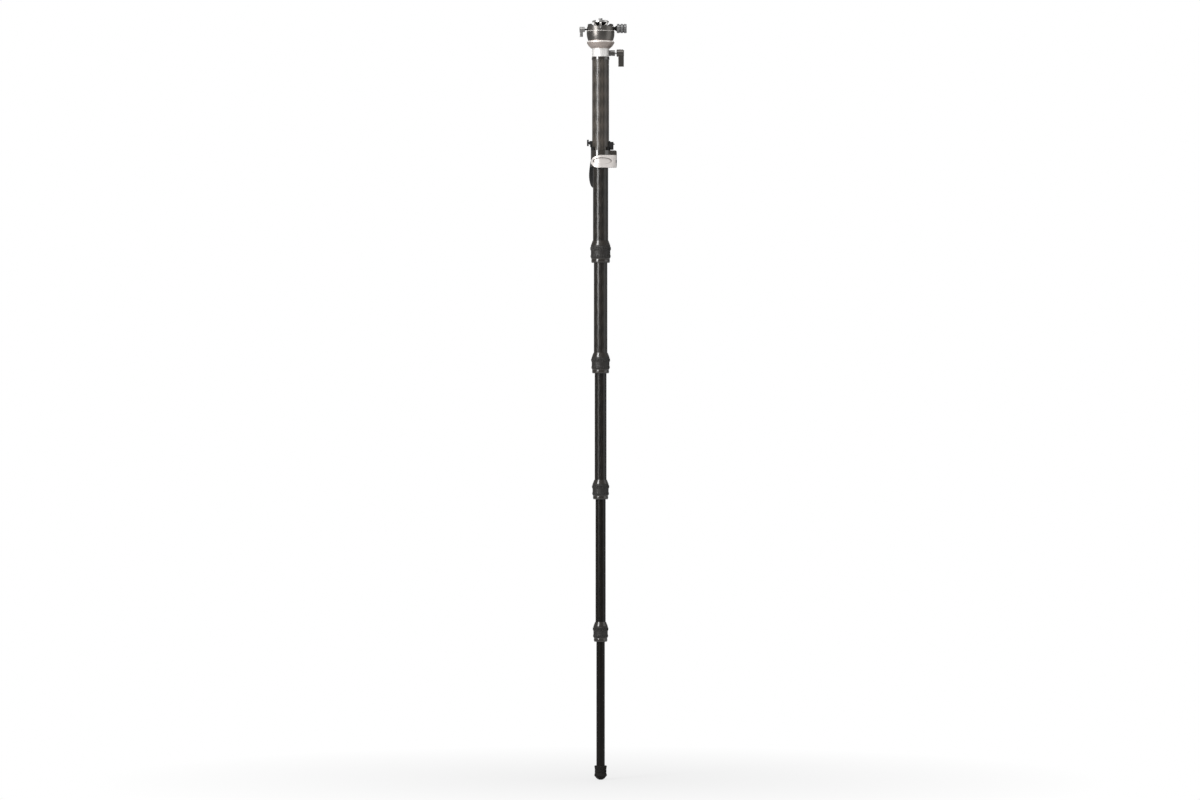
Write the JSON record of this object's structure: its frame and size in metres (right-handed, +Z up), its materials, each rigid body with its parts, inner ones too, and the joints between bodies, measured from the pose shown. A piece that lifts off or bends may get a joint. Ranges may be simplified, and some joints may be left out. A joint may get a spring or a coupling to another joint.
{
  "type": "camera monopod",
  "caption": "Telescoping carbon-fibre camera monopod with a flip clamp, twist locks, a rubber foot, a levelling and panning head with a camera screw, and a wrist strap.",
  "frame": {"origin": "centre of the foot's flat tip, on the tubes' axis, with all sections out", "axes": "+Z up along the tubes, -Y the front, +X the side of the knurled knob"},
  "size_m": [0.1115, 0.093, 1.8006],
  "materials": {
    "carbon_fibre": "woven carbon fibre under clear lacquer",
    "black_anodised": "satin black anodised aluminium",
    "champagne_aluminium": "champagne anodised aluminium, fine turned",
    "silver_aluminium": "bright satin aluminium",
    "lever_silver": "silver painted die casting",
    "gloss_black": "gloss black anodised aluminium",
    "moulded_black": "fine grained black nylon",
    "grip_rubber": "moulded black rubber",
    "foot_rubber": "matte black rubber",
    "steel": "machined stainless steel",
    "brass": "turned brass",
    "webbing": "woven black polyester webbing",
    "grey_anodised": "grey anodised aluminium",
    "knob_grey": "knurled grey anodised aluminium",
    "scale_silver": "bare aluminium with engraved ticks",
    "acetal": "plain acetal",
    "pad_rubber": "thin black rubber"
  },
  "bodies": {
    "upper_leg": {"leg_tube_1": "carbon_fibre", "tube_trim_ring": "gloss_black", "neck_collar": "silver_aluminium", "release_boss": "gloss_black", "clamp_casting": "gloss_black", "clamp_shroud": "moulded_black", "clamp_bolt": "steel", "clamp_nut": "steel", "strap_pin": "steel"},
    "head_base": {"base_bowl": "champagne_aluminium", "cup_housing": "black_anodised", "degree_scale_ring": "scale_silver", "pan_bolt": "steel"},
    "pan_head": {"pan_ring": "black_anodised", "socket_retainer": "steel", "pan_washer": "acetal", "lock_shoes": "brass"},
    "liner": {"friction_liner": "acetal"},
    "platform": {"levelling_half_ball": "black_anodised", "platform_neck": "silver_aluminium", "platform_disc": "silver_aluminium", "platform_pad": "pad_rubber", "camera_screw": "steel"},
    "level_knob_turn": {"level_knob": "knob_grey", "level_screw": "steel"},
    "pan_lock": {"pan_lever": "grey_anodised"},
    "release_lock": {"release_lever": "black_anodised", "release_screw": "steel"},
    "flip_lever": {"clamp_lever": "lever_silver", "clamp_pin": "steel"},
    "thumb_screw": {"shroud_thumb_screw": "moulded_black"},
    "strap": {"wrist_strap": "webbing"},
    "section_2": {"leg_tube_2": "carbon_fibre", "guide_shims_2": "acetal", "lock_ferrule_1": "silver_aluminium", "lock_collet_1": "acetal"},
    "section_3": {"leg_tube_3": "carbon_fibre", "guide_shims_3": "acetal", "lock_ferrule_2": "silver_aluminium", "lock_collet_2": "acetal"},
    "section_4": {"leg_tube_4": "carbon_fibre", "guide_shims_4": "acetal", "lock_ferrule_3": "silver_aluminium", "lock_collet_3": "acetal"},
    "section_5": {"leg_tube_5": "carbon_fibre", "guide_shims_5": "acetal", "lock_ferrule_4": "silver_aluminium", "lock_collet_4": "acetal"},
    "section_6": {"leg_tube_6": "carbon_fibre", "guide_shims_6": "acetal", "foot_plug": "silver_aluminium", "rubber_foot": "foot_rubber"},
    "twist_lock_1": {"lock_ring_1": "gloss_black", "lock_grip_1": "grip_rubber"},
    "twist_lock_2": {"lock_ring_2": "gloss_black", "lock_grip_2": "grip_rubber"},
    "twist_lock_3": {"lock_ring_3": "gloss_black", "lock_grip_3": "grip_rubber"},
    "twist_lock_4": {"lock_ring_4": "gloss_black", "lock_grip_4": "grip_rubber"}
  },
  "joints": [
    {"name": "section_2_slide", "type": "slide", "parent": "upper_leg", "child": "section_2", "axis": [0, 0, 1], "range_m": [0, 0.173]},
    {"name": "section_3_slide", "type": "slide", "parent": "section_2", "child": "section_3", "axis": [0, 0, 1], "range_m": [0, 0.2112]},
    {"name": "section_4_slide", "type": "slide", "parent": "section_3", "child": "section_4", "axis": [0, 0, 1], "range_m": [0, 0.2501]},
    {"name": "section_5_slide", "type": "slide", "parent": "section_4", "child": "section_5", "axis": [0, 0, 1], "range_m": [0, 0.2884]},
    {"name": "section_6_slide", "type": "slide", "parent": "section_5", "child": "section_6", "axis": [0, 0, 1], "range_m": [0, 0.2916]},
    {"name": "twist_lock_1_turn", "type": "hinge", "parent": "section_2", "child": "twist_lock_1", "pos_m": [0, 0, 1.2484], "axis": [0, 0, 1], "range_deg": [0, 120]},
    {"name": "twist_lock_2_turn", "type": "hinge", "parent": "section_3", "child": "twist_lock_2", "pos_m": [0, 0, 0.98525], "axis": [0, 0, 1], "range_deg": [0, 120]},
    {"name": "twist_lock_3_turn", "type": "hinge", "parent": "section_4", "child": "twist_lock_3", "pos_m": [0, 0, 0.6862], "axis": [0, 0, 1], "range_deg": [0, 120]},
    {"name": "twist_lock_4_turn", "type": "hinge", "parent": "section_5", "child": "twist_lock_4", "pos_m": [0, 0, 0.3498], "axis": [0, 0, 1], "range_deg": [0, 120]},
    {"name": "flip_lever_swing", "type": "hinge", "parent": "upper_leg", "child": "flip_lever", "pos_m": [0.03, -0.02, 1.4612], "axis": [0, 0, 1], "range_deg": [0, 110]},
    {"name": "strap_swing", "type": "hinge", "parent": "upper_leg", "child": "strap", "pos_m": [-0.00932, 0.02957, 1.5028], "axis": [0.9537, 0.3007, 0], "range_deg": [0, 70]},
    {"name": "thumb_screw_turn", "type": "hinge", "parent": "upper_leg", "child": "thumb_screw", "pos_m": [-0.024, 0, 1.5057], "axis": [-1, 0, 0], "range_deg": [0, 270]},
    {"name": "release_lever_turn", "type": "hinge", "parent": "upper_leg", "child": "release_lock", "pos_m": [0.038, 0, 1.7183], "axis": [1, 0, 0], "range_deg": [-100, 100]},
    {"name": "head_swivel", "type": "hinge", "parent": "upper_leg", "child": "head_base", "pos_m": [0, 0, 1.729], "axis": [0, 0, 1], "continuous": true},
    {"name": "head_pan", "type": "hinge", "parent": "head_base", "child": "pan_head", "pos_m": [0, 0, 1.7704], "axis": [0, 0, 1], "continuous": true},
    {"name": "level_side_to_side", "type": "hinge", "parent": "pan_head", "child": "liner", "pos_m": [0, 0, 1.76], "axis": [0, 1, 0], "range_deg": [-7, 7]},
    {"name": "level_front_to_back", "type": "hinge", "parent": "liner", "child": "platform", "pos_m": [0, 0, 1.76], "axis": [1, 0, 0], "range_deg": [-7, 7]},
    {"name": "level_knob_spin", "type": "hinge", "parent": "pan_head", "child": "level_knob_turn", "pos_m": [0.05, 0, 1.7764], "axis": [1, 0, 0], "range_deg": [0, 330]},
    {"name": "pan_lever_turn", "type": "hinge", "parent": "pan_head", "child": "pan_lock", "pos_m": [-0.043, 0, 1.774], "axis": [-1, 0, 0], "range_deg": [-100, 100]}
  ]
}
